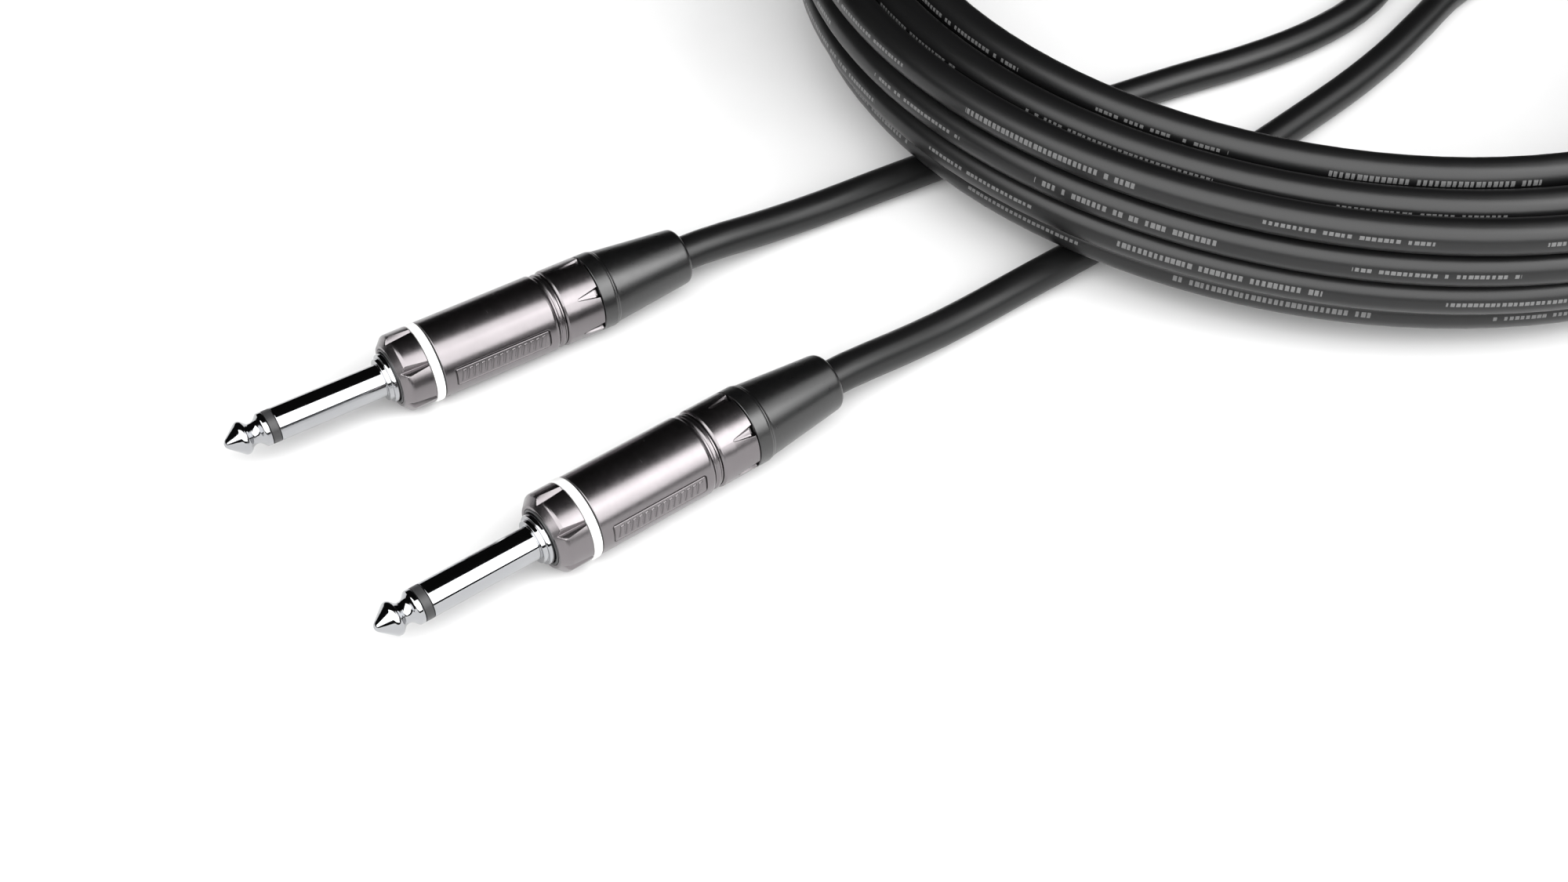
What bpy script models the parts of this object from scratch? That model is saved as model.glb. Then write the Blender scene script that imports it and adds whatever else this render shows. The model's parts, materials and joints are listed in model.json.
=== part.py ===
"""Instrument cable: two straight 6.35 mm plugs joined by one coiled cord.

Metres, +Z up. The origin is at the middle of the two plugs, on the surface that they lie on.
Each plug is drawn along its own axis: a station is the distance behind the tip of the finger.
"""

import math

import bmesh
import bpy
from mathutils import Matrix, Vector

MM = 0.001

# Driving dimensions, in millimetres
FINGER_R = 3.175  # standard 6.35 mm finger
SHOULDER = 30.5  # station of the face that stops against a jack
BODY_R = 7.59  # nut, barrel and collar
CORD_R = 3.5  # 7 mm cord
GAP = 0.3  # between neighbouring solids
PLUG_HEIGHT = BODY_R  # the barrel rests on the surface

NUT_FRONT, NUT_REAR = 32.4, 38.2
RING_REAR = 39.95
BARREL_FRONT, BARREL_REAR = 40.25, 64.25
COLLAR_FRONT, COLLAR_REAR = 66.0, 73.7
BOOT_FRONT, BOOT_REAR = 73.95, 95.75
JACKET_FRONT, JACKET_REAR = 57.9, 75.0

OUTER_STEPS = 24
INNER_STEPS = 16

# Where each plug lies: its tip, and the way its cord leaves, in millimetres and degrees
PLUGS = {
    "plug_a": ((-55.44, -7.03), 33.13),
    "plug_b": ((-22.66, -48.46), 37.68),
}

# The coil: a ring of turns that lies on both tails at its near side and on the surface at its far side
COIL_CENTRE = (168.6, 141.3)
COIL_RADIUS = 115.4  # centre line of the lowest outer turn
COIL_OUT, COIL_IN = 7.0, 17.9  # section, outwards and inwards of that line
COIL_HEIGHT = 30.9
COIL_BOTTOM = 3.95  # underside at the coil's centre
COIL_SLOPE = 0.0333
COIL_DOWNHILL = math.radians(45.0)
COIL_STEPS = 60

# The coil is out of round: it is pulled in over its back right, between these polar angles
SQUEEZE = 7.0
SQUEEZE_ANGLES = (-60.0, -10.0, 100.0, 165.0)  # starts, is full, is still full, ends

# The tails, from the end of the boot to the coil: x, y and height of the cord's middle, in millimetres
TAIL_A = [
    (30.6, 49.2, 7.1),
    (37.2, 53.9, 5.7),
    (45.6, 59.9, 4.2),
    (54.2, 65.4, 3.6),
    (63.5, 71.0, 3.55),
    (85.6, 83.7, 3.55),
    (108.0, 96.4, 3.55),
    (131.0, 108.0, 3.55),
    (141.7, 112.8, 3.55),
    (152.6, 118.3, 3.55),
    (163.7, 125.1, 3.55),
    (174.9, 134.1, 3.55),
    (184.0, 145.0, 3.55),
    (190.6, 158.5, 3.55),
    (193.4, 173.0, 3.55),
    (191.8, 187.4, 3.55),
    (186.0, 200.8, 3.55),
    (176.8, 211.8, 3.55),
    (165.0, 219.6, 3.55),
    (151.8, 223.8, 3.6),
]
TAIL_B = [
    (58.2, 14.0, 7.1),
    (65.2, 19.6, 5.7),
    (74.2, 27.0, 4.1),
    (83.0, 34.0, 3.6),
    (92.2, 41.2, 3.55),
    (113.0, 57.2, 3.55),
    (136.0, 75.8, 3.55),
    (159.4, 97.0, 3.55),
    (169.8, 106.9, 3.55),
    (180.4, 118.2, 3.55),
    (190.5, 130.6, 3.55),
    (200.6, 143.0, 3.55),
    (212.8, 152.2, 3.55),
    (227.0, 154.2, 3.55),
    (239.4, 147.2, 3.55),
    (247.2, 135.2, 3.55),
    (250.6, 121.8, 3.6),
    (250.2, 110.4, 4.2),
]
TAIL_POINTS = 66  # along each tail's tube


# ---------------------------------------------------------------- materials

FINISHES = {
    "chrome": ((0.78, 0.78, 0.79), 0.1, 1.0),
    "gunmetal": ((0.12, 0.125, 0.13), 0.35, 1.0),
    "black_plastic": ((0.012, 0.012, 0.013), 0.42, 0.0),
    "white_ring": ((0.86, 0.86, 0.86), 0.4, 0.0),
    "boot_rubber": ((0.02, 0.02, 0.021), 0.48, 0.0),
    "cord_jacket": ((0.014, 0.014, 0.015), 0.42, 0.0),
    "liner_plastic": ((0.55, 0.53, 0.48), 0.5, 0.0),
    "chuck_plastic": ((0.07, 0.07, 0.075), 0.5, 0.0),
    "core_insulation": ((0.72, 0.7, 0.66), 0.45, 0.0),
    "copper": ((0.72, 0.36, 0.2), 0.3, 1.0),
    "brass": ((0.7, 0.54, 0.27), 0.28, 1.0),
    "solder": ((0.62, 0.62, 0.6), 0.33, 1.0),
}


def material_for(name, finish):
    colour, roughness, metallic = FINISHES[finish]
    material = bpy.data.materials.new(name)
    material.use_nodes = True
    shader = material.node_tree.nodes["Principled BSDF"]
    shader.inputs["Base Color"].default_value = (*colour, 1.0)
    shader.inputs["Roughness"].default_value = roughness
    shader.inputs["Metallic"].default_value = metallic
    return material


# ---------------------------------------------------------------- modelling helpers


def clear_scene():
    for obj in list(bpy.data.objects):
        bpy.data.objects.remove(obj, do_unlink=True)


def new_collection(name):
    collection = bpy.data.collections.new(name)
    bpy.context.scene.collection.children.link(collection)
    return collection


def add_object(name, data, collection, finish, parent=None):
    obj = bpy.data.objects.new(name, data)
    collection.objects.link(obj)
    obj.parent = parent
    data.materials.append(material_for(name, finish))
    return obj


def turned(name, outline, collection, finish, parent=None, steps=OUTER_STEPS):
    """A body of revolution about the plug's own Z, which points forwards.

    outline is (station, radius) pairs in millimetres, from front to rear along the outside and,
    for a hollow piece, from rear to front along the bore. With both ends on the axis it is solid.
    """
    mesh = bpy.data.meshes.new(name)
    shape = bmesh.new()
    points = [shape.verts.new((radius * MM, 0.0, -station * MM)) for station, radius in outline]
    for first, second in zip(points, points[1:]):
        shape.edges.new((first, second))
    solid = outline[0][1] == 0.0 and outline[-1][1] == 0.0
    if not solid:
        shape.edges.new((points[-1], points[0]))
    shape.to_mesh(mesh)
    shape.free()
    obj = add_object(name, mesh, collection, finish, parent)
    screw = obj.modifiers.new("Turn", "SCREW")
    screw.axis = "Z"
    screw.angle = math.tau
    screw.steps = steps
    screw.render_steps = steps
    screw.use_merge_vertices = True
    screw.merge_threshold = 0.00001
    screw.use_smooth_shade = True
    return obj


def tube(name, points, radius, collection, finish, parent=None, sides=2):
    """A round bar along points, which are in metres."""
    curve = bpy.data.curves.new(name, "CURVE")
    curve.dimensions = "3D"
    curve.bevel_depth = radius
    curve.bevel_resolution = sides
    curve.use_fill_caps = True
    spline = curve.splines.new("POLY")
    spline.points.add(len(points) - 1)
    for target, point in zip(spline.points, points):
        target.co = (*point, 1.0)
    return add_object(name, curve, collection, finish, parent)


def block(name, low, high, collection, finish, parent, bevel):
    """A bar between two corners, in millimetres, with its edges broken."""
    mesh = bpy.data.meshes.new(name)
    shape = bmesh.new()
    bmesh.ops.create_cube(shape, size=1.0)
    size = [(b - a) * MM for a, b in zip(low, high)]
    middle = [(a + b) / 2 * MM for a, b in zip(low, high)]
    bmesh.ops.scale(shape, vec=size, verts=shape.verts)
    bmesh.ops.translate(shape, vec=middle, verts=shape.verts)
    shape.to_mesh(mesh)
    shape.free()
    obj = add_object(name, mesh, collection, finish, parent)
    edge = obj.modifiers.new("Edges", "BEVEL")
    edge.width = bevel * MM
    edge.segments = 2
    return obj


def ball(name, centre, radius, collection, finish, parent):
    mesh = bpy.data.meshes.new(name)
    shape = bmesh.new()
    bmesh.ops.create_uvsphere(shape, u_segments=10, v_segments=6, radius=radius * MM)
    bmesh.ops.translate(shape, vec=[value * MM for value in centre], verts=shape.verts)
    shape.to_mesh(mesh)
    shape.free()
    mesh.shade_smooth()
    return add_object(name, mesh, collection, finish, parent)


def smooth_path(points, count):
    """count points, evenly spaced, on the Catmull-Rom curve through points."""
    padded = [2 * points[0] - points[1], *points, 2 * points[-1] - points[-2]]
    dense = []
    for i in range(1, len(padded) - 2):
        before, start, end, after = padded[i - 1 : i + 3]
        for step in range(24):
            t = step / 24
            dense.append(
                0.5
                * (
                    2 * start
                    + (end - before) * t
                    + (2 * before - 5 * start + 4 * end - after) * t * t
                    + (3 * start - before - 3 * end + after) * t**3
                )
            )
    dense.append(points[-1])
    lengths = [0.0]
    for first, second in zip(dense, dense[1:]):
        lengths.append(lengths[-1] + (second - first).length)
    path, k = [], 0
    for i in range(count):
        target = lengths[-1] * i / (count - 1)
        while k < len(dense) - 2 and lengths[k + 1] < target:
            k += 1
        share = (target - lengths[k]) / (lengths[k + 1] - lengths[k])
        path.append(dense[k].lerp(dense[k + 1], min(max(share, 0.0), 1.0)))
    return path


# ---------------------------------------------------------------- one plug


def plug_axis(name, collection):
    """An empty at the tip of the finger. Its -Z runs along the plug, towards the cord, and its X is up."""
    (x, y), heading = PLUGS[name]
    along = Vector((math.cos(math.radians(heading)), math.sin(math.radians(heading)), 0.0))
    up = Vector((0.0, 0.0, 1.0))
    side = (-along).cross(up)
    frame = Matrix((up, side, -along)).transposed().to_4x4()
    frame.translation = (x * MM, y * MM, PLUG_HEIGHT * MM)
    empty = bpy.data.objects.new(f"{name}_axis", None)
    empty.empty_display_size = 0.01
    empty.matrix_world = frame
    collection.objects.link(empty)
    return empty


def contact_finger(name, axis, parts):
    rod_r, rod_end = 1.2, 48.0
    tip = [(0.0, 0.0), (0.0, 0.35), (0.35, 0.75), (2.9, 3.0), (3.5, FINGER_R), (4.0, 3.0), (4.9, 2.1)]
    tip += [(5.8, 2.1), (7.2, FINGER_R), (7.9, FINGER_R), (7.9, rod_r), (rod_end, rod_r), (rod_end, 0.0)]
    turned(f"{name}_tip_contact", tip, parts, "chrome", axis)

    ring_r, sleeve_r, bore = FINGER_R - 0.03, 2.2, 1.5
    insulator = [(8.1, ring_r), (9.6, ring_r), (9.6, sleeve_r), (44.7, sleeve_r), (44.7, bore), (8.1, bore)]
    turned(f"{name}_front_insulator", insulator, parts, "black_plastic", axis, INNER_STEPS)

    first_step, second_step, stub, thread = 4.1, 4.7, 4.6, 5.8
    sleeve = [(9.8, FINGER_R), (SHOULDER, FINGER_R), (SHOULDER, first_step), (31.3, first_step)]
    sleeve += [(31.3, second_step), (32.0, second_step), (32.0, stub), (BARREL_FRONT, stub)]
    sleeve += [(BARREL_FRONT, thread), (45.0, thread), (45.0, 2.5), (9.8, 2.5)]
    turned(f"{name}_sleeve_contact", sleeve, parts, "chrome", axis)

    washer = [(45.3, 5.2), (46.4, 5.2), (46.4, 1.5), (45.3, 1.5)]
    turned(f"{name}_rear_insulator", washer, parts, "black_plastic", axis, INNER_STEPS)


def wiring(name, axis, parts):
    """The solder side: the cord's own layers, stripped back in steps, and the two terminals."""
    cup = [(46.7, 2.0), (52.0, 2.0), (52.0, 0.95), (49.0, 0.95), (49.0, 0.0)]
    cup = [(48.4, 0.0), (48.4, 1.5), (46.7, 1.5), *cup]
    turned(f"{name}_tip_terminal", cup, parts, "brass", axis, INNER_STEPS)
    fill = [(49.3, 0.0), (49.3, 0.65), (51.9, 0.65), (51.9, 0.0)]
    turned(f"{name}_tip_solder", fill, parts, "solder", axis, 12)
    wire = [(52.2, 0.0), (52.2, 0.45), (54.0, 0.45), (54.0, 0.0)]
    turned(f"{name}_centre_conductor", wire, parts, "copper", axis, 12)
    core = [(54.3, 0.0), (54.3, 1.5), (JACKET_FRONT - GAP, 1.5), (JACKET_FRONT - GAP, 0.0)]
    turned(f"{name}_core_insulation", core, parts, "core_insulation", axis, INNER_STEPS)
    jacket = [(JACKET_FRONT, 0.0), (JACKET_FRONT, CORD_R), (JACKET_REAR, CORD_R), (JACKET_REAR, 0.0)]
    turned(f"{name}_cable_jacket_end", jacket, parts, "cord_jacket", axis, INNER_STEPS)

    pigtail = [(-2.4, 0.0, 57.4), (-2.9, 0.3, 55.4), (-2.9, 0.3, 53.2), (-3.2, 0.0, 51.2)]
    pigtail = [Vector((x * MM, y * MM, -station * MM)) for x, y, station in pigtail]
    tube(f"{name}_shield_pigtail", smooth_path(pigtail, 9), 0.6 * MM, parts, "copper", axis)
    ball(f"{name}_shield_solder", (-3.2, 0.0, -50.1), 0.75, parts, "solder", axis)
    block(f"{name}_sleeve_terminal", (-5.0, -1.8, -58.1), (-4.2, 1.8, -46.7), parts, "brass", axis, 0.2)
    clamp = [(58.5, 4.6), (60.2, 4.6), (60.2, CORD_R + GAP), (58.5, CORD_R + GAP)]
    turned(f"{name}_cable_clamp", clamp, parts, "brass", axis, INNER_STEPS)


def shell(name, axis, parts):
    """What stays with the finger when the nut and the gland are undone."""
    seal = [(32.3, 5.3), (33.0, 5.3), (33.0, 4.9), (32.3, 4.9)]
    turned(f"{name}_seal_ring", seal, parts, "black_plastic", axis, INNER_STEPS)

    bore = 6.15
    barrel = [(BARREL_FRONT, BODY_R - 0.12), (BARREL_FRONT + 0.15, BODY_R), (63.5, BODY_R), (64.0, 7.42)]
    barrel += [(BARREL_REAR, 7.1), (BARREL_REAR, bore), (BARREL_FRONT, bore)]
    turned(f"{name}_barrel", barrel, parts, "gunmetal", axis)
    liner = [(46.8, 5.85), (62.1, 5.85), (62.1, 5.5), (46.8, 5.5)]
    turned(f"{name}_barrel_liner", liner, parts, "liner_plastic", axis, INNER_STEPS)
    spacer = [(64.6, 7.2), (64.8, 7.35), (65.5, 7.35), (65.7, 7.2), (65.7, bore), (64.6, bore)]
    turned(f"{name}_barrel_ring", spacer, parts, "gunmetal", axis)


def front_nut(name, axis, parts):
    bore = 5.6
    nut = [(NUT_FRONT, 6.0), (33.2, 6.95), (34.0, BODY_R - 0.03), (NUT_REAR, BODY_R - 0.03)]
    nut += [(NUT_REAR, bore), (NUT_FRONT, bore)]
    turned(f"{name}_front_nut", nut, parts, "gunmetal", axis)
    ring_front = NUT_REAR + 0.2
    ring = [(ring_front, BODY_R), (RING_REAR, BODY_R), (RING_REAR, 4.95), (ring_front, 4.95)]
    turned(f"{name}_colour_ring", ring, parts, "white_ring", axis)


def rear_gland(name, axis, parts):
    chuck_bore = CORD_R + GAP
    chuck = [(60.5, 4.3), (61.2, 4.7), (70.0, 4.7), (73.0, 4.3), (73.0, chuck_bore), (60.5, chuck_bore)]
    turned(f"{name}_chuck", chuck, parts, "chuck_plastic", axis, INNER_STEPS)

    spigot, bore = 5.8, 5.0
    collar = [(62.5, spigot), (COLLAR_FRONT, spigot), (COLLAR_FRONT, 7.25), (66.35, BODY_R)]
    collar += [(COLLAR_REAR, BODY_R), (COLLAR_REAR, bore), (62.5, bore)]
    turned(f"{name}_rear_collar", collar, parts, "gunmetal", axis)

    cord_bore = 3.9
    boot = [(BOOT_FRONT, BODY_R), (76.6, BODY_R), (77.4, 7.27), (94.0, 5.62), (94.9, 4.95), (95.5, 4.35)]
    boot += [(BOOT_REAR, 4.1), (BOOT_REAR, cord_bore), (74.6, cord_bore), (BOOT_FRONT, 5.0)]
    turned(f"{name}_boot", boot, parts, "boot_rubber", axis)


def build_plug(name, parts):
    axis = plug_axis(name, parts)
    contact_finger(name, axis, parts)
    wiring(name, axis, parts)
    shell(name, axis, parts)
    front_nut(name, axis, parts)
    rear_gland(name, axis, parts)
    return axis.matrix_world


# ---------------------------------------------------------------- the cord


def build_tail(name, route, plug_frame, parts):
    """A tube from inside the boot, straight out of it, and along the surface to the coil."""
    stations = (JACKET_REAR + GAP, 82.0, 89.0, BOOT_REAR)
    inside = [plug_frame @ Vector((0.0, 0.0, -station * MM)) for station in stations]
    laid = [Vector((x * MM, y * MM, z * MM)) for x, y, z in route]
    tube(name, smooth_path(inside + laid, TAIL_POINTS), CORD_R * MM, parts, "cord_jacket")


def squeeze(angle):
    """How far the coil is pulled in at a polar angle in degrees, in millimetres."""
    start, full, still_full, end = SQUEEZE_ANGLES
    angle = (angle - start) % 360.0 + start
    share = min((angle - start) / (full - start), (end - angle) / (end - still_full))
    share = min(max(share, 0.0), 1.0)
    return SQUEEZE * share * share * (3.0 - 2.0 * share)


def build_coil(parts):
    """The outer shape of the wound turns, tipped so that its near side clears the tails."""
    top = COIL_HEIGHT
    outer, inner = COIL_RADIUS + COIL_OUT, COIL_RADIUS - COIL_IN
    section = [(top, outer - 6.0), (top - 5.0, outer), (4.0, outer), (0.0, outer - 5.0)]
    section += [(0.0, inner), (top - 9.0, inner), (top, inner + 3.5)]

    mesh = bpy.data.meshes.new("cord_coil")
    shape = bmesh.new()
    rings = []
    for step in range(COIL_STEPS):
        angle = 360.0 * step / COIL_STEPS
        across, along = math.cos(math.radians(angle)) * MM, math.sin(math.radians(angle)) * MM
        ring = []
        for height, radius in section:
            pulled = radius - squeeze(angle)
            ring.append(shape.verts.new((pulled * across, pulled * along, height * MM)))
        rings.append(ring)
    for ring, after in zip(rings, rings[1:] + rings[:1]):
        for i in range(len(section)):
            k = (i + 1) % len(section)
            shape.faces.new((ring[i], ring[k], after[k], after[i]))
    bmesh.ops.recalc_face_normals(shape, faces=shape.faces)
    shape.to_mesh(mesh)
    shape.free()
    coil = add_object("cord_coil", mesh, parts, "cord_jacket")

    sideways = Vector((-math.sin(COIL_DOWNHILL), math.cos(COIL_DOWNHILL), 0.0))
    tipped = Matrix.Rotation(math.atan(COIL_SLOPE), 4, sideways)
    tipped.translation = (COIL_CENTRE[0] * MM, COIL_CENTRE[1] * MM, COIL_BOTTOM * MM)
    coil.matrix_world = tipped


def main():
    clear_scene()
    parts = new_collection("instrument_cable")
    frames = {name: build_plug(name, parts).copy() for name in PLUGS}
    build_tail("cord_tail_a", TAIL_A, frames["plug_a"], parts)
    build_tail("cord_tail_b", TAIL_B, frames["plug_b"], parts)
    build_coil(parts)


main()
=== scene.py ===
import json
import math

import bpy
from mathutils import Matrix, Vector


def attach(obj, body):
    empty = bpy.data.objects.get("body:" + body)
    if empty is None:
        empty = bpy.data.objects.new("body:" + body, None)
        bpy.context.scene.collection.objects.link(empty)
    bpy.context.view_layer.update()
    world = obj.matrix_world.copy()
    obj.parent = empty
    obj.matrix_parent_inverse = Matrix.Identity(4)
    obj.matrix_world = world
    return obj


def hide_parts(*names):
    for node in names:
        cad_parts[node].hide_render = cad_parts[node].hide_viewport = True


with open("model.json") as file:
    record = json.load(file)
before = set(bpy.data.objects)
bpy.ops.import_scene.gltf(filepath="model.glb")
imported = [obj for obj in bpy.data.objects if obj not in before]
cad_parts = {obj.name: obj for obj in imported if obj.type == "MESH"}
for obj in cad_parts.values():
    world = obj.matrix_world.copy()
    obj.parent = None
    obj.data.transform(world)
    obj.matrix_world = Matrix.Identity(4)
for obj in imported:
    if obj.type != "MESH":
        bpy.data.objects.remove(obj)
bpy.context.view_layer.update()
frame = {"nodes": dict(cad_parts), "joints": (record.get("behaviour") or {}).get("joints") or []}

MM = 0.001

# ---------------------------------------------------------------- camera

CAMERA_PLACE = (0.04449, -0.24648, 0.25918)
CAMERA_PITCH = 43.72  # degrees up from straight down
CAMERA_LENS = 44.66

camera = bpy.data.cameras.new("camera")
camera.lens = CAMERA_LENS
camera.sensor_width = 36.0
camera.clip_start = 0.01
camera_object = bpy.data.objects.new("camera", camera)
camera_object.location = CAMERA_PLACE
camera_object.rotation_euler = (math.radians(CAMERA_PITCH), 0.0, 0.0)
bpy.context.scene.collection.objects.link(camera_object)
bpy.context.scene.camera = camera_object

# ---------------------------------------------------------------- sizes, in millimetres

CORD_R = 3.5
BODY_R = 7.59
FINGER_R = 3.175
THREAD_PITCH = 1.0

# Stations along a plug, from its tip back towards the cord
SHOULDER = 30.5
NUT_FRONT, NUT_REAR = 32.4, 38.2
RING_FRONT, RING_REAR = 38.36, 40.03
BARREL_FRONT, BARREL_REAR = 40.25, 64.25
SPACER_FRONT, SPACER_REAR = 64.35, 65.85
COLLAR_FRONT, COLLAR_REAR = 66.0, 73.7
BOOT_FRONT, BOOT_LIP = 73.95, 94.85
GLAND_PIVOT = 80.0  # the point that the rear gland's hinge is given at
BOOT_EXIT = 95.75  # where the cord leaves the boot
CORD_FRONT = 75.3  # where the cord's free length begins, inside the boot

FLUTES = 6
FLUTE_ROLL = 49.3  # degrees from straight up, towards the viewer
PLATE_ROLL = 87.5

CORD_SIDES = 20
CORD_SPACING = 6.0  # between the visible cord's rings
# The print stays underneath up to PRINT_START, then comes round over PRINT_TURN
PRINT_START, PRINT_TURN = 290.0, 220.0
PRINT_UNDER, PRINT_SHOWN = 180.0, 79.0  # its roll before and after, in degrees from straight up, outwards

# The coil, and the two tails from the end of the boot to it: x, y and height of the cord's middle
COIL_CENTRE = (168.6, 141.3)
COIL_RADIUS = 115.4
COIL_BOTTOM = 3.95
COIL_SLOPE = 0.0333

TAIL_A = [
    (30.6, 49.2, 7.1), (37.2, 53.9, 5.7), (45.6, 59.9, 4.2), (54.2, 65.4, 3.6),
    (63.5, 71.0, 3.55), (85.6, 83.7, 3.55), (108.0, 96.4, 3.55), (131.0, 108.0, 3.55),
    (141.7, 112.8, 3.55), (152.6, 118.3, 3.55), (163.7, 125.1, 3.55), (174.9, 134.1, 3.55),
    (184.0, 145.0, 3.55), (190.6, 158.5, 3.55), (193.4, 173.0, 3.55), (191.8, 187.4, 3.55),
    (186.0, 200.8, 3.55), (176.8, 211.8, 3.55), (165.0, 219.6, 3.55), (151.8, 223.8, 3.6),
]
TAIL_B = [
    (58.2, 14.0, 7.1), (65.2, 19.6, 5.7), (74.2, 27.0, 4.1), (83.0, 34.0, 3.6),
    (92.2, 41.2, 3.55), (113.0, 57.2, 3.55), (136.0, 75.8, 3.55), (159.4, 97.0, 3.55),
    (169.8, 106.9, 3.55), (180.4, 118.2, 3.55), (190.5, 130.6, 3.55), (200.6, 143.0, 3.55),
    (212.8, 152.2, 3.55), (227.0, 154.2, 3.55), (239.4, 147.2, 3.55), (247.2, 135.2, 3.55),
    (250.6, 121.8, 3.6), (250.2, 110.4, 4.2),
]

# Where each turn lies in the coil's section: inwards of the outer turn, and up, in the order they are wound
SLOTS = [
    (14.2, 0.0), (7.1, 0.0), (0.0, 0.0), (-3.1, 6.4), (-3.4, 13.5), (-3.0, 20.6),
    (4.0, 21.6), (11.4, 23.4), (10.9, 13.6), (3.7, 14.0), (3.9, 6.9), (11.2, 6.5),
]
COIL_START, COIL_EXIT = 128.0, 300.0  # polar angles where its first turn begins and its last one ends
SHIFT_START, SHIFT_END = 340.0, 420.0  # where each turn moves over to the next slot
COIL_STEP = 7.5  # degrees between the coil's points

# How the tails join it: polar angle, inwards, up
JOIN_A = [(110.0, 19.6, -2.6), (119.0, 16.2, -0.9)]
JOIN_B = [(308.0, 14.1, 7.1), (315.0, 17.3, 6.4), (322.0, 20.2, 4.0), (329.0, 21.6, 1.0)]

# The coil is out of round: it is pulled in over its back right, between these polar angles
SQUEEZE = 7.0
SQUEEZE_ANGLES = (-60.0, -10.0, 100.0, 165.0)  # starts, is full, is still full, ends


# ---------------------------------------------------------------- materials


class Nodes:
    """A small wrapper for building one node material."""

    def __init__(self, name):
        self.material = bpy.data.materials.new(name)
        self.material.use_nodes = True
        self.tree = self.material.node_tree
        self.shader = self.tree.nodes["Principled BSDF"]

    def add(self, kind, **settings):
        node = self.tree.nodes.new(kind)
        for key, value in settings.items():
            setattr(node, key, value)
        return node

    def link(self, source, target):
        self.tree.links.new(source, target)

    def feed(self, value, socket):
        if isinstance(value, (int, float)):
            socket.default_value = value
        else:
            self.link(value, socket)

    def object_place(self):
        return self.add("ShaderNodeTexCoord").outputs["Object"]

    def math(self, operation, first, second=0.0, third=0.0):
        node = self.add("ShaderNodeMath", operation=operation)
        for value, socket in zip((first, second, third), node.inputs):
            self.feed(value, socket)
        return node.outputs[0]

    def noise(self, stretch, scale, detail, where):
        """A noise pattern over the piece, with stretch and scale per millimetre of the axes in where."""
        mapping = self.add("ShaderNodeMapping")
        mapping.inputs["Scale"].default_value = [value / MM for value in stretch]
        self.link(where, mapping.inputs["Vector"])
        noise = self.add("ShaderNodeTexNoise")
        noise.inputs["Scale"].default_value = scale
        noise.inputs["Detail"].default_value = detail
        self.link(mapping.outputs["Vector"], noise.inputs["Vector"])
        return noise.outputs["Fac"]

    def spread(self, value, low, high, from_low=0.25, from_high=0.75):
        node = self.add("ShaderNodeMapRange")
        for number, socket in zip((from_low, from_high, low, high), node.inputs[1:5]):
            socket.default_value = number
        self.link(value, node.inputs[0])
        return node.outputs[0]

    def mix(self, factor, first, second):
        node = self.add("ShaderNodeMix", data_type="RGBA")
        self.link(factor, node.inputs[0])
        for colour, socket in ((first, node.inputs[6]), (second, node.inputs[7])):
            if isinstance(colour, (tuple, list)):
                socket.default_value = (*colour, 1.0)
            else:
                self.link(colour, socket)
        return node.outputs[2]

    def bump(self, height, depth, below=None):
        node = self.add("ShaderNodeBump")
        node.inputs["Strength"].default_value = 1.0
        node.inputs["Distance"].default_value = depth * MM
        self.link(height, node.inputs["Height"])
        if below is not None:
            self.link(below, node.inputs["Normal"])
        return node.outputs["Normal"]


def finish_of(name, colour, roughness, metallic, grain, depth, mottle, wear, turned=True, gloss=0.5):
    """A material with a fine directional grain, a slow change of colour and a worn gloss.

    grain is the pattern's frequency per millimetre along the piece's own x, y and z, and depth is its
    relief in millimetres. mottle is how far the colour moves either way, wear how far the roughness
    does. A piece that isn't turned here has no axes of its own, and takes the object's.
    """
    nodes = Nodes(name)
    if turned:
        where = nodes.add("ShaderNodeAttribute", attribute_name="own").outputs["Vector"]
    else:
        where = nodes.object_place()
    fine = nodes.noise(grain, 1.0, 2.0, where)
    slow = nodes.noise((0.16, 0.16, 0.16), 1.0, 3.0, where)
    scuffs = nodes.noise((0.9, 0.9, 0.9), 1.0, 5.0, where)
    darker = tuple(value * (1.0 - mottle) for value in colour)
    lighter = tuple(min(value * (1.0 + mottle), 1.0) for value in colour)
    base = nodes.mix(nodes.spread(slow, 0.0, 1.0), darker, lighter)
    # On a turned piece the colour is darkened by a point attribute: painted shade in engraved lines and a
    # painted shadow round raised ribs
    if turned:
        painted_shade = nodes.add("ShaderNodeAttribute", attribute_name="painted_shade").outputs["Fac"]
        base = nodes.mix(painted_shade, base, tuple(value * PAINTED_SHADE_LEFT for value in colour))
    nodes.link(base, nodes.shader.inputs["Base Color"])
    worn = nodes.math("ADD", nodes.spread(scuffs, -wear, wear), nodes.spread(fine, -wear / 2, wear / 2))
    worn = nodes.math("ADD", worn, roughness)
    nodes.link(nodes.math("MAXIMUM", worn, 0.02), nodes.shader.inputs["Roughness"])
    nodes.shader.inputs["Specular IOR Level"].default_value = gloss
    nodes.link(nodes.bump(fine, depth), nodes.shader.inputs["Normal"])
    nodes.shader.inputs["Metallic"].default_value = metallic
    return nodes.material


PAINTED_SHADE_LEFT = 0.12  # what is left of the colour where shade is painted: in an engraved line and round a raised rib

TURNED = (0.05, 0.05, 4.0)  # rings round the piece's z axis
DRAWN = (7.0, 7.0, 0.06)  # streaks along it
MOULDED = (3.0, 3.0, 3.0)
FINE_MOULDED = (6.0, 6.0, 6.0)

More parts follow.
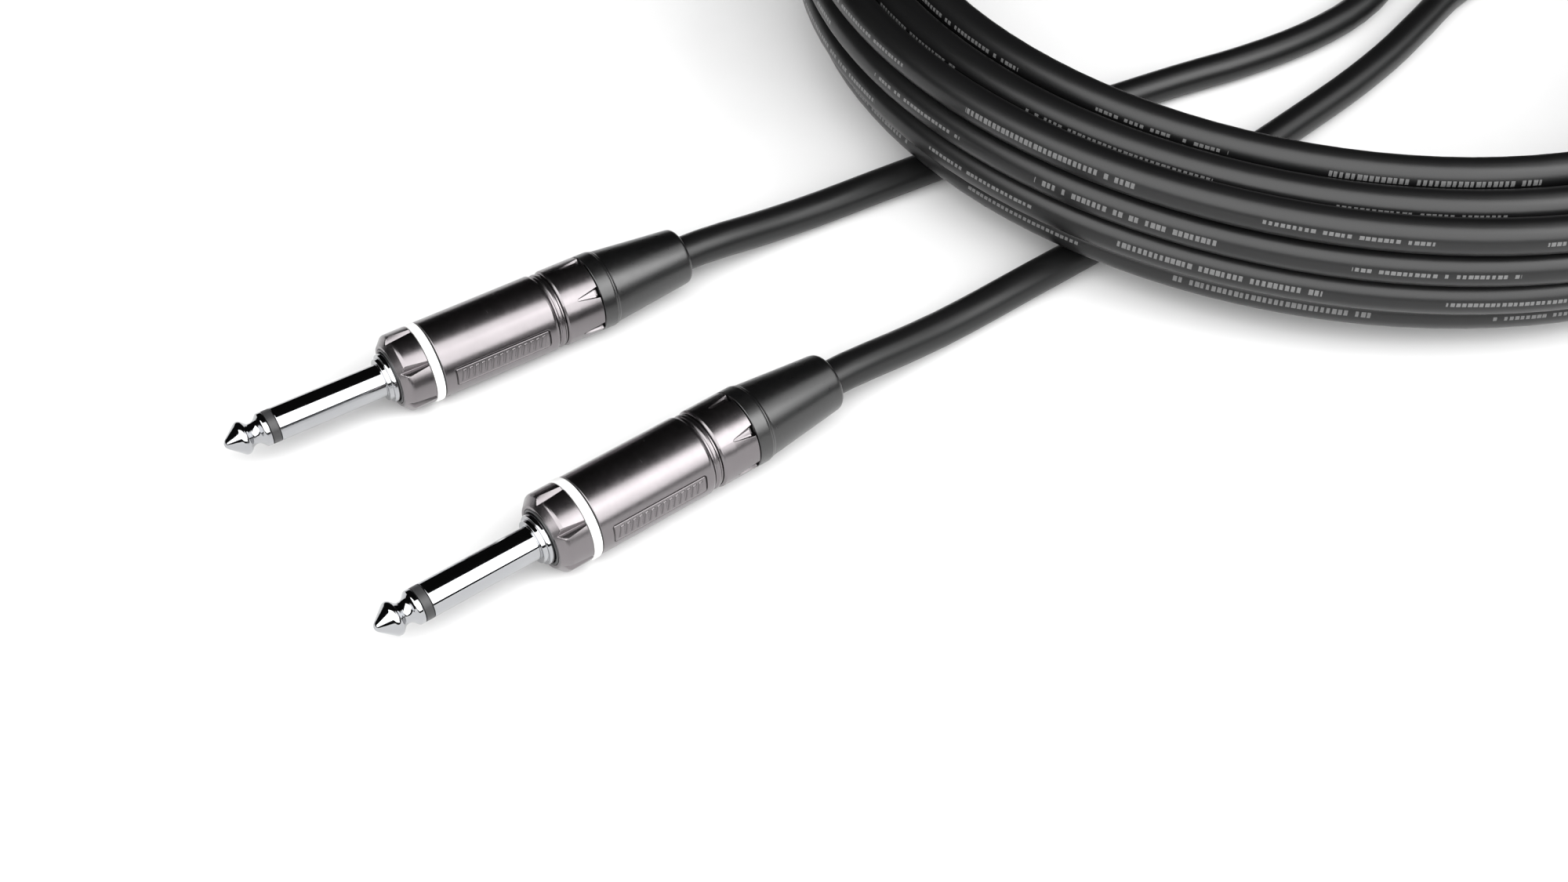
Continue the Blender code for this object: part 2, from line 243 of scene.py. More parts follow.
MATERIALS = {
    "chrome": finish_of("chrome_plate", (0.4, 0.405, 0.417), 0.07, 1.0, DRAWN, 0.0004, 0.03, 0.02),
    "gunmetal": finish_of("gunmetal", (0.203, 0.189, 0.195), 0.25, 1.0, TURNED, 0.00035, 0.04, 0.02),
    "black_plastic": finish_of("black_nylon", (0.03, 0.03, 0.031), 0.4, 0.0, MOULDED, 0.004, 0.15, 0.06),
    "white_ring": finish_of("white_marker", (0.86, 0.86, 0.85), 0.38, 0.0, MOULDED, 0.003, 0.02, 0.06),
    "boot_rubber": finish_of(
        "boot_rubber", (0.002, 0.002, 0.0021), 0.3, 0.0, FINE_MOULDED, 0.0025, 0.2, 0.03, gloss=0.9
    ),
}


def sealed_finish(name, colour, roughness, metallic, depth, mottle, grain=MOULDED, wear=0.06):
    return finish_of(name, colour, roughness, metallic, grain, depth, mottle, wear, turned=False)


SEALED = {
    "black_plastic": sealed_finish("sealed_nylon", (0.03, 0.03, 0.031), 0.4, 0.0, 0.004, 0.15),
    "cord_jacket": sealed_finish("sealed_jacket", (0.01, 0.01, 0.01), 0.42, 0.0, 0.004, 0.2, wear=0.05),
    "liner_plastic": sealed_finish("liner_card", (0.55, 0.53, 0.48), 0.55, 0.0, 0.01, 0.08),
    "chuck_plastic": sealed_finish("chuck_nylon", (0.07, 0.07, 0.075), 0.5, 0.0, 0.006, 0.15),
    "core_insulation": sealed_finish("core", (0.72, 0.7, 0.66), 0.42, 0.0, 0.003, 0.05),
    "copper": sealed_finish("bare_copper", (0.72, 0.36, 0.2), 0.28, 1.0, 0.01, 0.14),
    "brass": sealed_finish("plain_brass", (0.7, 0.54, 0.27), 0.25, 1.0, 0.003, 0.1, FINE_MOULDED),
    "solder": sealed_finish("solder", (0.62, 0.62, 0.6), 0.3, 1.0, 0.02, 0.12),
}

# The row of plain dashes printed along the cord, in millimetres
DASH_PITCH = 1.05
DASH_WIDTH = (0.5, 0.82)  # share of the pitch, from the shortest dash to the longest
DASH_GAPS = 0.12  # share of the dashes that is left out
PRINT_REPEAT = 236.0
# Where each run starts and ends, and half its height
PRINT_RUNS = [(6.0, 44.0, 0.58), (66.0, 96.0, 0.4), (116.0, 180.0, 0.42), (198.0, 224.0, 0.36)]


def cord_material():
    """Black jacket with faint lines from the die, and a printed row of plain dashes along it."""
    nodes = Nodes("cord_jacket")
    lay = nodes.add("ShaderNodeUVMap", uv_map="lay").outputs["UV"]
    lines = nodes.noise((0.02, 2.4, 1.0), 1.0, 3.0, lay)
    pores = nodes.noise((4.0, 4.0, 4.0), 1.0, 3.0, nodes.object_place())
    slow = nodes.noise((0.03, 0.2, 1.0), 1.0, 2.0, lay)

    split = nodes.add("ShaderNodeSeparateXYZ")
    nodes.link(lay, split.inputs[0])
    along = nodes.math("DIVIDE", split.outputs["X"], MM)
    across = nodes.math("ABSOLUTE", nodes.math("DIVIDE", split.outputs["Y"], MM))

    index = nodes.math("FLOOR", nodes.math("DIVIDE", along, DASH_PITCH))
    place = nodes.math("FRACT", nodes.math("DIVIDE", along, DASH_PITCH))
    chance = nodes.add("ShaderNodeTexWhiteNoise", noise_dimensions="1D")
    nodes.link(index, chance.inputs["W"])
    width = nodes.spread(chance.outputs["Value"], *DASH_WIDTH, 0.0, 1.0)
    dash = nodes.math("LESS_THAN", place, width)
    gap = nodes.math("GREATER_THAN", chance.outputs["Value"], DASH_GAPS)
    where = nodes.math("MODULO", along, PRINT_REPEAT)
    ink = None
    for start, end, half_height in PRINT_RUNS:
        begun = nodes.math("GREATER_THAN", where, start)
        run = nodes.math("MULTIPLY", begun, nodes.math("LESS_THAN", where, end))
        run = nodes.math("MULTIPLY", run, nodes.math("LESS_THAN", across, half_height))
        ink = run if ink is None else nodes.math("MAXIMUM", ink, run)
    ink = nodes.math("MULTIPLY", nodes.math("MULTIPLY", ink, dash), gap)
    worn = nodes.math("MULTIPLY", ink, nodes.spread(pores, 0.72, 1.0))

    black = nodes.mix(nodes.spread(slow, 0.0, 1.0), (0.0026, 0.0026, 0.0027), (0.0042, 0.0042, 0.0044))
    nodes.link(nodes.mix(worn, black, (0.13, 0.13, 0.13)), nodes.shader.inputs["Base Color"])
    gloss = nodes.math("ADD", nodes.spread(slow, 0.33, 0.38), nodes.spread(pores, -0.02, 0.02))
    nodes.link(gloss, nodes.shader.inputs["Roughness"])
    nodes.shader.inputs["Specular IOR Level"].default_value = 0.45
    relief = nodes.bump(lines, 0.0025)
    relief = nodes.bump(pores, 0.0015, relief)
    nodes.link(relief, nodes.shader.inputs["Normal"])
    return nodes.material


# ---------------------------------------------------------------- mesh helpers


def grid_mesh(name, rings, closed, ring_uvs=None):
    """A skin over rings of points, each joined to the next. closed joins the last ring to the first.

    Where it isn't closed, each end is filled by a fan. ring_uvs gives one more point per ring than it has.
    """
    count, columns = len(rings), len(rings[0])
    vertices = [point for ring in rings for point in ring]
    faces, uvs = [], []
    for i in range(count if closed else count - 1):
        after = (i + 1) % count
        for j in range(columns):
            beside = (j + 1) % columns
            here, there = i * columns, after * columns
            faces.append((here + j, here + beside, there + beside, there + j))
            if ring_uvs:
                uvs += [ring_uvs[i][j], ring_uvs[i][j + 1], ring_uvs[after][j + 1], ring_uvs[after][j]]
    if not closed:
        for ring, flip in ((0, True), (count - 1, False)):
            middle = len(vertices)
            points = rings[ring]
            vertices.append([sum(point[axis] for point in points) / columns for axis in range(3)])
            for j in range(columns):
                pair = (ring * columns + j, ring * columns + (j + 1) % columns)
                faces.append((middle, pair[1], pair[0]) if flip else (middle, pair[0], pair[1]))
                if ring_uvs:
                    uvs += [ring_uvs[ring][j]] * 3
    mesh = bpy.data.meshes.new(name)
    mesh.from_pydata(vertices, [], faces)
    if ring_uvs:
        layer = mesh.uv_layers.new(name="lay")
        for loop, uv in zip(layer.data, uvs):
            loop.uv = uv
    mesh.validate()
    mesh.shade_smooth()
    return mesh


STRAIGHT = 14.0  # degrees: a corner that turns less than this isn't rounded
ROUNDING = (0.0, 0.25, 0.5, 0.75, 1.0)


def eased(outline, radius, closed):
    """outline with each corner rounded, and a supporting point close to each rounding."""
    count = len(outline)
    points = []
    for i, corner in enumerate(outline):
        if not closed and i in (0, count - 1):
            points.append(corner)
            continue
        before, after = outline[i - 1], outline[(i + 1) % count]
        if turn_at(before, corner, after) < STRAIGHT:
            points.append(corner)
            continue
        reach = min(radius, 0.36 * math.dist(corner, before), 0.36 * math.dist(corner, after))
        enter = toward(corner, before, reach)
        leave = toward(corner, after, reach)
        points.append(toward(corner, before, reach * 1.3))
        for t in ROUNDING:
            one, two = between(enter, corner, t), between(corner, leave, t)
            points.append(between(one, two, t))
        points.append(toward(corner, after, reach * 1.3))
    return points


def turn_at(before, corner, after):
    """How far, in degrees, a line turns at corner."""
    into = math.atan2(corner[1] - before[1], corner[0] - before[0])
    out = math.atan2(after[1] - corner[1], after[0] - corner[0])
    return abs(math.degrees(math.remainder(out - into, 2.0 * math.pi)))


def spline(before, start, end, after, t):
    """The Catmull-Rom curve between start and end, for numbers or vectors."""
    return 0.5 * (
        2 * start
        + (end - before) * t
        + (2 * before - 5 * start + 4 * end - after) * t * t
        + (3 * start - before - 3 * end + after) * t**3
    )


def curved(points, steps=5):
    """Points on the Catmull-Rom curve through points, both ends included."""
    padded = [points[0], *points, points[-1]]
    result = []
    for i in range(1, len(padded) - 2):
        before, start, end, after = padded[i - 1 : i + 3]
        for step in range(steps):
            t = step / steps
            result.append(tuple(spline(*values, t) for values in zip(before, start, end, after)))
    return [*result, points[-1]]


def toward(start, end, reach):
    length = math.dist(start, end) or 1.0
    return between(start, end, reach / length)


def between(first, second, t):
    return tuple(a + (b - a) * t for a, b in zip(first, second))


def smooth_step(value, low, high):
    t = min(max((value - low) / (high - low), 0.0), 1.0)
    return t * t * (3.0 - 2.0 * t)


def at(station, radius, roll):
    """A point of a plug, in its own axes, in metres. roll is in degrees from straight up, to the viewer."""
    angle = math.radians(roll)
    return (radius * math.cos(angle) * MM, -radius * math.sin(angle) * MM, -station * MM)


def even_rolls(columns):
    return [360.0 * j / columns for j in range(columns)]


def turned_mesh(name, outline, columns, easing, rolls=None, relief=None, stations=(), painted_shade=None):
    """A body of revolution.

    relief(station, radius, roll) gives the radius there, and rolls(station) the columns. With both
    ends of the outline on the axis it is solid, otherwise the outline closes on itself. stations are
    extra rows, for relief to have room in. The last argument, a function of (station, radius, roll),
    gives how much shade is painted into the finish there, from 0 to 1: painted shade in engraved lines.
    """
    solid = outline[0][1] == 0.0 and outline[-1][1] == 0.0
    profile = eased(outline, easing, not solid)
    if stations:
        profile = with_rows(profile, stations, not solid)
    if solid:
        profile = profile[1:-1]
    rings, shades = [], []
    for station, radius in profile:
        row = rolls(station) if rolls else even_rolls(columns)
        shaped = [relief(station, radius, roll) if relief else radius for roll in row]
        rings.append([at(station, value, roll) for value, roll in zip(shaped, row)])
        shades += [painted_shade(station, radius, roll) for roll in row] if painted_shade else []
    mesh = grid_mesh(name, rings, not solid)
    # The shade painted into the finish, kept per point for the material to darken its colour by
    if painted_shade:
        layer = mesh.attributes.new("painted_shade", "FLOAT", "POINT")
        for value, shade in zip(layer.data, shades):
            value.value = shade
    return mesh


def with_rows(profile, stations, closed):
    """profile with more points on its outer side, at stations."""
    result = []
    count = len(profile)
    for i, point in enumerate(profile):
        result.append(point)
        if i == count - 1 and not closed:
            break
        after = profile[(i + 1) % count]
        if after[0] - point[0] > 0.02:
            inside = [s for s in stations if point[0] + 0.01 < s < after[0] - 0.01]
            for station in inside:
                result.append(between(point, after, (station - point[0]) / (after[0] - point[0])))
    return result


def rows(start, end, step):
    count = max(1, round((end - start) / step))
    return [start + (end - start) * i / count for i in range(count + 1)]


# ---------------------------------------------------------------- plugs


def plug_matrix(name):
    """The plug's own axes, from its rear hinge: -Z along it towards the cord, X up, origin at the tip."""
    hinge = next(joint for joint in frame["joints"] if joint["name"] == f"{name}_gland_turn")
    along = Vector(hinge["axis"]).normalized()
    tip = Vector(hinge["pos_m"]) - along * GLAND_PIVOT * MM
    up = Vector((0.0, 0.0, 1.0))
    matrix = Matrix((up, (-along).cross(up), -along)).transposed().to_4x4()
    matrix.translation = tip
    return matrix


def sharpen(mesh, angle=35.0):
    mesh.set_sharp_from_angle(angle=math.radians(angle))


def place(plug, part, mesh, material, body):
    """One visible piece of a plug, standing for the CAD node of that name."""
    own = mesh.attributes.new("own", "FLOAT_VECTOR", "POINT")
    for value, vertex in zip(own.data, mesh.vertices):
        value.vector = vertex.co
    mesh.transform(plug_matrix(plug))
    piece = bpy.data.objects.new(f"{plug}_{part}_look", mesh)
    bpy.context.scene.collection.objects.link(piece)
    mesh.materials.append(MATERIALS[material])
    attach(piece, body if body == "root" else f"{plug}_{body}")
    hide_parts(f"{plug}_{part}")


def thread(station, radius, roll, start, end, root, crest):
    """A right-hand thread with flat roots and crests between two stations, fading out at both ends."""
    fade = 0.5
    turns = (station / THREAD_PITCH + roll / 360.0) % 1.0
    height = 1.0 - abs(2.0 * turns - 1.0)
    ends = smooth_step(station, start, start + fade) * (1.0 - smooth_step(station, end - fade, end))
    cut = root + (crest - root) * min(max(height * 1.5 - 0.25, 0.0), 1.0)
    return radius + (cut - radius) * ends


def finger(plug):
    rod, rod_rear = 1.2, 48.0
    waist = [(2.75, 2.86), (3.0, 3.04), (3.3, 3.14), (3.6, 3.15), (3.95, 3.02), (4.35, 2.66), (4.7, 2.3)]
    waist += [(5.1, 2.06), (5.6, 2.02), (6.05, 2.14), (6.4, 2.4), (6.7, 2.72)]
    tip = [(0.0, 0.0), (0.02, 0.3), (0.3, 0.78)] + curved(waist)
    tip += [(7.05, 3.1), (7.2, FINGER_R), (8.05, FINGER_R), (8.05, rod), (rod_rear, rod), (rod_rear, 0.0)]
    mesh = turned_mesh("tip", tip, 96, 0.2)
    sharpen(mesh)
    place(plug, "tip_contact", mesh, "chrome", "root")

    front, rear = 8.15, 9.62
    tube_outside, tube_inside, tube_rear = 2.25, 1.5, 44.7
    radius_out = FINGER_R - 0.02
    ring = [(front, radius_out), (rear, radius_out), (rear, tube_outside), (tube_rear, tube_outside)]
    ring += [(tube_rear, tube_inside), (front, tube_inside)]
    mesh = turned_mesh("insulator", ring, 96, 0.05)
    sharpen(mesh)
    place(plug, "front_insulator", mesh, "black_plastic", "root")

    stub, shell_thread = 4.6, 5.8
    front, rear, bore = 9.75, 45.0, 2.5
    sleeve = [(front, FINGER_R), (SHOULDER, FINGER_R), (SHOULDER, 4.02), (31.28, 4.1), (31.28, 4.62)]
    sleeve += [(31.55, 4.72), (32.05, 4.72), (32.05, stub), (BARREL_FRONT, stub)]
    sleeve += [(BARREL_FRONT, shell_thread), (rear, shell_thread), (rear, bore), (front, bore)]

    def relief(station, radius, roll):
        if 32.4 < station < 40.0 and radius > 4.0:
            return thread(station, radius, roll, 32.6, 39.9, 4.3, 4.82)
        return radius

    mesh = turned_mesh("sleeve", sleeve, 96, 0.07, None, relief, rows(32.5, 40.0, 0.125))
    sharpen(mesh)
    place(plug, "sleeve_contact", mesh, "chrome", "root")

    seal = [(32.25, 5.35), (32.95, 5.35), (32.95, 4.85), (32.25, 4.85)]
    mesh = turned_mesh("seal", seal, 64, 0.18)
    place(plug, "seal_ring", mesh, "black_plastic", "root")


def fluted_rolls(half_width, land=7):
    """Columns for a ring with flutes: close inside each flute and, more coarsely, on the land between."""
    inside = (-1.0, -0.985, -0.8, -0.6, -0.4, -0.2, -0.03, 0.03, 0.2, 0.4, 0.6, 0.8, 0.985, 1.0)
    spacing = 360.0 / FLUTES

    def rolls(station):
        half = half_width(station)
        row = []
        for k in range(FLUTES):
            middle = FLUTE_ROLL + spacing * k
            row += [middle + half * t for t in inside]
            edge = 0.35
            start, end = half + edge, spacing - half - edge
            row += [middle + start + (end - start) * i / land for i in range(land + 1)]
        return row

    return rolls


def flute_place(station, roll, half_width):
    """How far across its flute a point lies: 0 in the middle, 1 at the edge."""
    spacing = 360.0 / FLUTES
    offset = (roll - FLUTE_ROLL + spacing / 2) % spacing - spacing / 2
    return abs(offset) / half_width(station)


def front_nut(plug):
    bore, mouth = 5.6, 5.45
    radius_out = BODY_R - 0.03
    flute_front, flute_length = 33.2, 5.0

    def share_of(station):
        return min(max((station - flute_front) / flute_length, 0.0), 1.0)

    def half_width(station):
        return 8.8 - 5.0 * share_of(station)

    def relief(station, radius, roll):
        if radius < 6.1:
            return radius
        across = flute_place(station, roll, half_width)
        if across >= 1.0:
            return radius
        depth = 0.95 - 0.45 * share_of(station)
        return min(radius, radius_out - depth * (1.0 - across))

    nut = [(33.3, bore), (32.9, mouth), (NUT_FRONT, mouth), (NUT_FRONT, 6.06), (33.6, 7.34), (33.85, 7.49)]
    nut += [(34.15, radius_out), (NUT_REAR, radius_out), (NUT_REAR, bore)]
    mesh = turned_mesh("nut", nut, 0, 0.05, fluted_rolls(half_width), relief, rows(32.45, 38.1, 0.15))
    sharpen(mesh, 24.0)
    place(plug, "front_nut", mesh, "gunmetal", "nut_body")

    proud = BODY_R + 0.13
    ring = [(RING_FRONT, 7.5), (38.45, 7.64), (38.7, proud), (39.7, proud), (39.95, 7.64), (RING_REAR, 7.5)]
    ring += [(RING_REAR, 4.95), (RING_FRONT, 4.95)]
    mesh = turned_mesh("ring", ring, 128, 0.12)
    sharpen(mesh)
    place(plug, "colour_ring", mesh, "white_ring", "ring_body")


PLATE_FRONT, PLATE_REAR = 42.4, 62.1
PLATE_HALF = 2.0  # half of its height, along the surface
PLATE_RIBS = 14
PLATE_RELIEF = 0.2  # depth of its frame, and height of its ribs


def plate_parts(station, roll):
    """How fully a point lies in the frame's groove, on a rib and on a rib's edge, each from 0 to 1."""
    across = math.radians(roll - PLATE_ROLL) * BODY_R
    along = station - (PLATE_FRONT + PLATE_REAR) / 2
    corner = 0.45
    x = abs(along) - ((PLATE_REAR - PLATE_FRONT) / 2 - corner)
    y = abs(across) - (PLATE_HALF - corner)
    edge = math.hypot(max(x, 0.0), max(y, 0.0)) + min(max(x, y), 0.0) - corner
    groove = 1.0 - smooth_step(abs(edge + 0.12), 0.06, 0.17)

    span = (PLATE_REAR - PLATE_FRONT) - 2.0
    pitch = span / PLATE_RIBS
    leaning = along + 0.22 * across
    if abs(leaning) > span / 2:
        return groove, 0.0, 0.0
    phase = ((leaning + span / 2) / pitch) % 1.0
    offset = abs(phase - 0.5) * pitch
    ends = 1.0 - smooth_step(abs(across), 1.12, 1.26)
    rib = ends * (1.0 - smooth_step(offset, 0.28, 0.42))
    # The band round each rib's edge, where a shadow is painted
    rib_shadow_band = (1.0 - smooth_step(abs(across), 1.26, 1.36)) * (1.0 - smooth_step(offset, 0.46, 0.54))
    return groove, rib, rib_shadow_band * (1.0 - rib)


def plate_relief(station, radius, roll):
    """A thin engraved frame with a row of plain raised ribs in it."""
    if radius < BODY_R - 0.05:
        return radius
    groove, rib, _ = plate_parts(station, roll)
    return radius - PLATE_RELIEF * groove + PLATE_RELIEF * rib


def plate_painted_shade(station, radius, roll):
    """Painted shade in the frame's line, and a painted shadow as a thin outline round each rib."""
    if radius < BODY_R - 0.05:
        return 0.0
    groove, _, rib_shadow = plate_parts(station, roll)
    return max(0.9 * groove, 0.6 * rib_shadow)


def plate_rolls(_):
    """Columns for the barrel: close over the nameplate and coarse elsewhere, the same at each station."""
    close, coarse = 54, 70
    half = math.degrees((PLATE_HALF + 0.35) / BODY_R)
    fine = [PLATE_ROLL - half + 2 * half * j / close for j in range(close)]
    start, end = PLATE_ROLL + half, PLATE_ROLL - half + 360.0
    return fine + [start + (end - start) * j / coarse for j in range(coarse)]


def shell(plug):
    bore = 6.15
    barrel = [(BARREL_FRONT, 7.45), (40.38, BODY_R), (63.55, BODY_R), (63.95, 7.44), (BARREL_REAR, 7.15)]
    barrel += [(BARREL_REAR, bore), (BARREL_FRONT, bore)]
    stations = rows(PLATE_FRONT - 0.5, PLATE_REAR + 0.5, 0.09)
    # The barrel gets painted shade in its nameplate's frame and a painted shadow round the nameplate's ribs
    mesh = turned_mesh("barrel", barrel, 0, 0.1, plate_rolls, plate_relief, stations, plate_painted_shade)
    sharpen(mesh, 50.0)
    place(plug, "barrel", mesh, "gunmetal", "root")

    low = 7.14
    spacer = [(SPACER_FRONT, low), (64.6, low), (64.75, 7.32), (65.0, 7.38), (65.3, 7.36), (65.45, 7.26)]
    spacer += [(65.55, low), (SPACER_REAR, low), (SPACER_REAR, bore), (SPACER_FRONT, bore)]
    mesh = turned_mesh("spacer", spacer, 128, 0.06)
    sharpen(mesh)
    place(plug, "barrel_ring", mesh, "gunmetal", "root")


def rear_collar(plug):
    flute_front = 69.15
    spigot_front, spigot, bore = 62.5, 5.8, 5.0
    radius_out = BODY_R + 0.01

    def share_of(station):
        return min(max((station - flute_front) / (COLLAR_REAR - flute_front), 0.0), 1.0)

    def half_width(station):
        share = share_of(station)
        return 1.7 * min(1.0, (share / 0.06) ** 0.5) + 6.8 * share + 0.1

    def relief(station, radius, roll):
        if 62.6 < station < 65.9 and radius > spigot - 0.2:
            return thread(station, radius, roll, 62.7, 65.5, 5.45, 6.0)
        if station < flute_front or radius < 7.0:
            return radius
        across = flute_place(station, roll, half_width)
        if across >= 1.0:
            return radius
        share = share_of(station)
        depth = (0.26 + 0.3 * share) * smooth_step(share, 0.0, 0.03)
        wall = 1.0 - smooth_step(across, 0.74, 1.0)
        notch = 0.55 * smooth_step(station, 73.05, 73.2) * (1.0 - smooth_step(across, 0.66, 0.8))
        return radius - depth * wall - notch

    collar = [(spigot_front, spigot), (COLLAR_FRONT, spigot), (COLLAR_FRONT, 7.22), (66.1, 7.36)]
    collar += [(66.4, radius_out), (COLLAR_REAR, radius_out), (COLLAR_REAR, bore), (spigot_front, bore)]
    stations = rows(62.6, 65.9, 0.125) + rows(flute_front, 73.6, 0.11)
    mesh = turned_mesh("collar", collar, 0, 0.07, fluted_rolls(half_width), relief, stations)
    sharpen(mesh, 32.0)
    place(plug, "rear_collar", mesh, "gunmetal", "gland_body")

    lip = 3.72
    boot = [(BOOT_FRONT, 7.5), (74.05, BODY_R), (76.55, BODY_R), (76.75, 7.54), (76.9, 7.44), (77.1, 7.44)]
    boot += [(77.45, 7.27), (93.6, 5.65), (94.1, 5.54), (94.5, 5.28), (94.75, 4.92), (BOOT_LIP, 4.5)]
    boot += [(BOOT_LIP, lip), (93.8, lip), (92.0, 3.9), (74.6, 3.9), (BOOT_FRONT, 5.0)]
    mesh = turned_mesh("boot", boot, 96, 0.12)
    sharpen(mesh, 45.0)
    place(plug, "boot", mesh, "boot_rubber", "gland_body")


CARRIED = {
    "rear_insulator": "black_plastic",
    "tip_terminal": "brass",
    "tip_solder": "solder",
    "centre_conductor": "copper",
    "core_insulation": "core_insulation",
    "shield_pigtail": "copper",
    "shield_solder": "solder",
    "sleeve_terminal": "brass",
    "cable_clamp": "brass",
    "barrel_liner": "liner_plastic",
    "chuck": "chuck_plastic",
    "cable_jacket_end": "cord_jacket",
}


def carry_over(plug):
    """The sealed pieces keep their CAD shapes and get finished materials."""
    for part, material in CARRIED.items():
        node = frame["nodes"][f"{plug}_{part}"]
        for slot in node.material_slots:
            slot.material = SEALED[material]


# ---------------------------------------------------------------- cord


def squeeze(angle):
    """How far the coil is pulled in at a polar angle in degrees, in millimetres."""
    start, full, still_full, end = SQUEEZE_ANGLES
    angle = (angle - start) % 360.0 + start
    share = min((angle - start) / (full - start), (end - angle) / (end - still_full))
    return SQUEEZE * smooth_step(share, 0.0, 1.0)


def coil_point(angle, inward, up):
    """A point of the coil's tipped stack, in millimetres."""
    radius = COIL_RADIUS - squeeze(angle) - inward
    x, y = radius * math.cos(math.radians(angle)), radius * math.sin(math.radians(angle))
    bottom = COIL_BOTTOM - COIL_SLOPE * (x + y) * math.sqrt(0.5)
    return Vector((COIL_CENTRE[0] + x, COIL_CENTRE[1] + y, bottom + CORD_R + up))


def coil_points():
    """Every turn in its slot, and the moves from each slot to the next."""
    end = COIL_EXIT + 360.0 * (len(SLOTS) - 1)
    count = round((end - COIL_START) / COIL_STEP)
    points = []
    for i in range(count + 1):
        angle = COIL_START + (end - COIL_START) * i / count
        turn = math.floor((angle - SHIFT_START) / 360.0)
        if turn < 0:
            inward, up = SLOTS[0]
        else:
            share = smooth_step(angle - 360.0 * turn, SHIFT_START, SHIFT_END)
            inward, up = between(SLOTS[turn], SLOTS[min(turn + 1, len(SLOTS) - 1)], share)
        points.append(coil_point(angle, inward, up))
    return points


def smooth_path(points, spacing):
    """Points about spacing apart on the Catmull-Rom curve through points."""
    padded = [2 * points[0] - points[1], *points, 2 * points[-1] - points[-2]]
    dense = []
    for i in range(1, len(padded) - 2):
        before, start, end, after = padded[i - 1 : i + 3]
        for step in range(12):
            t = step / 12
            dense.append(spline(before, start, end, after, t))
    dense.append(points[-1])
    lengths = [0.0]
    for first, second in zip(dense, dense[1:]):
        lengths.append(lengths[-1] + (second - first).length)
    count = round(lengths[-1] / spacing) + 1
    path, k = [], 0
    for i in range(count):
        target = lengths[-1] * i / (count - 1)
        while k < len(dense) - 2 and lengths[k + 1] < target:
            k += 1
        share = (target - lengths[k]) / (lengths[k + 1] - lengths[k])
        path.append(dense[k].lerp(dense[k + 1], min(max(share, 0.0), 1.0)))
    return path, lengths[-1]


def inside_boot(plug):
    """The cord's straight start in the boot, in millimetres."""
    matrix = plug_matrix(plug)
    stations = (CORD_FRONT, 82.0, 89.0, BOOT_EXIT)
    return [matrix @ Vector((0.0, 0.0, -station * MM)) / MM for station in stations]


def cord_ring(point, tangent, along):
    """The cord's ring at a point, and how its skin is laid out: along the cord, and round from the print."""
    outward = tangent.cross(Vector((0.0, 0.0, 1.0))).normalized()
    above = outward.cross(tangent)
    shown = smooth_step(along, PRINT_START, PRINT_START + PRINT_TURN)
    print_roll = PRINT_UNDER - (PRINT_UNDER - PRINT_SHOWN) * shown
    ring, uvs = [], []
    for j in range(CORD_SIDES + 1):
        offset = math.pi * (2.0 * j / CORD_SIDES - 1.0)
        angle = math.radians(print_roll) + offset
        spot = point + (above * math.cos(angle) + outward * math.sin(angle)) * CORD_R
        if j < CORD_SIDES:
            ring.append(tuple(spot * MM))
        uvs.append((along * MM, offset * CORD_R * MM))
    return ring, uvs


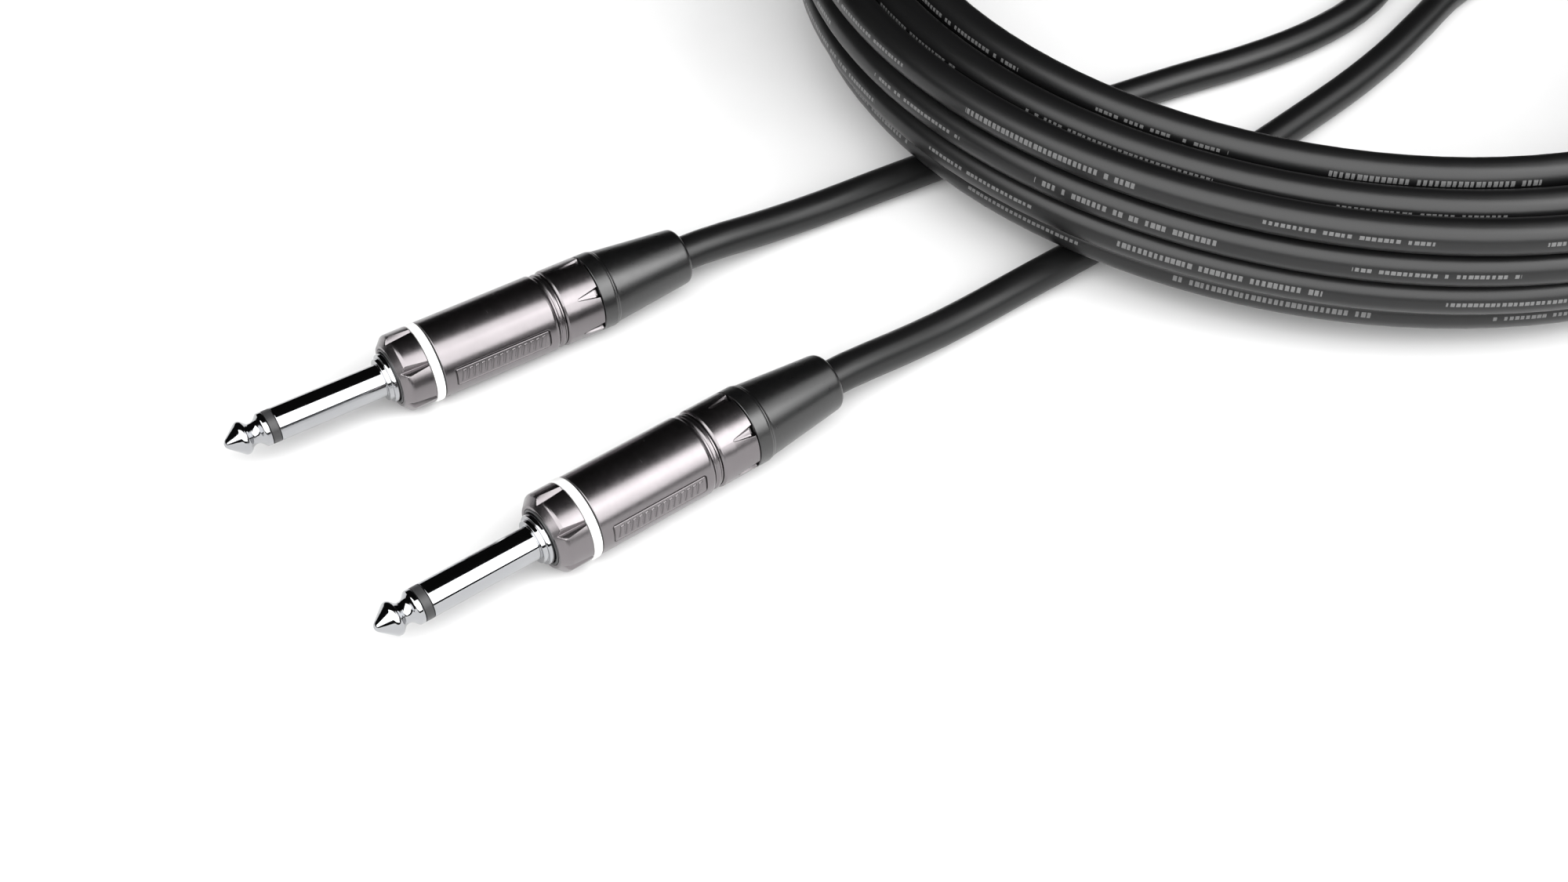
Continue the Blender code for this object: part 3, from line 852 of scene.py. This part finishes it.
def build_cord():
    """One cord from plug to plug, by way of the coil."""
    tail_a = inside_boot("plug_a") + [Vector(point) for point in TAIL_A]
    tail_b = inside_boot("plug_b") + [Vector(point) for point in TAIL_B]
    joins = [[coil_point(*spot) for spot in join] for join in (JOIN_A, JOIN_B)]
    route = tail_a + joins[0] + coil_points() + joins[1] + tail_b[::-1]
    path, length = smooth_path(route, CORD_SPACING)
    step = length / (len(path) - 1)
    rings, ring_uvs = [], []
    for i, point in enumerate(path):
        tangent = (path[min(i + 1, len(path) - 1)] - path[max(i - 1, 0)]).normalized()
        ring, uvs = cord_ring(point, tangent, i * step)
        rings.append(ring)
        ring_uvs.append(uvs)
    mesh = grid_mesh("cord", rings, False, ring_uvs)
    mesh.materials.append(cord_material())
    cord = bpy.data.objects.new("cord", mesh)
    bpy.context.scene.collection.objects.link(cord)
    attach(cord, "root")
    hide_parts("cord_tail_a", "cord_coil", "cord_tail_b")
    leaves = plug_matrix("plug_a") @ Vector((0.0, 0.0, -BOOT_EXIT * MM))


# ---------------------------------------------------------------- floor and light


def area_light(name, place_at, aim, size, power):
    light = bpy.data.lights.new(name, "AREA")
    light.shape = "RECTANGLE"
    light.size, light.size_y = size
    light.energy = power
    lamp = bpy.data.objects.new(name, light)
    lamp.location = place_at
    lamp.rotation_euler = (Vector(aim) - Vector(place_at)).to_track_quat("-Z", "Y").to_euler()
    bpy.context.scene.collection.objects.link(lamp)


def stage():
    nodes = Nodes("floor")
    speckle = nodes.noise((0.05, 0.05, 0.05), 1.0, 4.0, nodes.object_place())
    pale = nodes.mix(nodes.spread(speckle, 0.0, 1.0), (0.69, 0.69, 0.69), (0.71, 0.71, 0.71))
    nodes.link(pale, nodes.shader.inputs["Base Color"])
    nodes.shader.inputs["Roughness"].default_value = 0.9
    nodes.shader.inputs["Specular IOR Level"].default_value = 0.0
    mesh = bpy.data.meshes.new("floor")
    reach = 6.0
    corners = [(-reach, -reach, 0.0), (reach, -reach, 0.0), (reach, reach, 0.0), (-reach, reach, 0.0)]
    mesh.from_pydata(corners, [], [(0, 1, 2, 3)])
    mesh.materials.append(nodes.material)
    floor = bpy.data.objects.new("floor", mesh)
    bpy.context.scene.collection.objects.link(floor)

    world = bpy.data.worlds.new("studio")
    world.use_nodes = True
    world.node_tree.nodes["Background"].inputs["Color"].default_value = (0.006, 0.006, 0.006, 1.0)
    bpy.context.scene.world = world
    bpy.context.scene.view_settings.view_transform = "Standard"

    area_light("key", (0.16, -0.547, 0.688), (0.16, -0.065, 0.0), (2.9, 1.27), 46.3)
    area_light("side", (1.0, 0.03, 0.74), (0.05, 0.0, 0.0), (1.1, 0.8), 5.6)


build_cord()
for plug_name in ("plug_a", "plug_b"):
    finger(plug_name)
    front_nut(plug_name)
    shell(plug_name)
    rear_collar(plug_name)
    carry_over(plug_name)
stage()
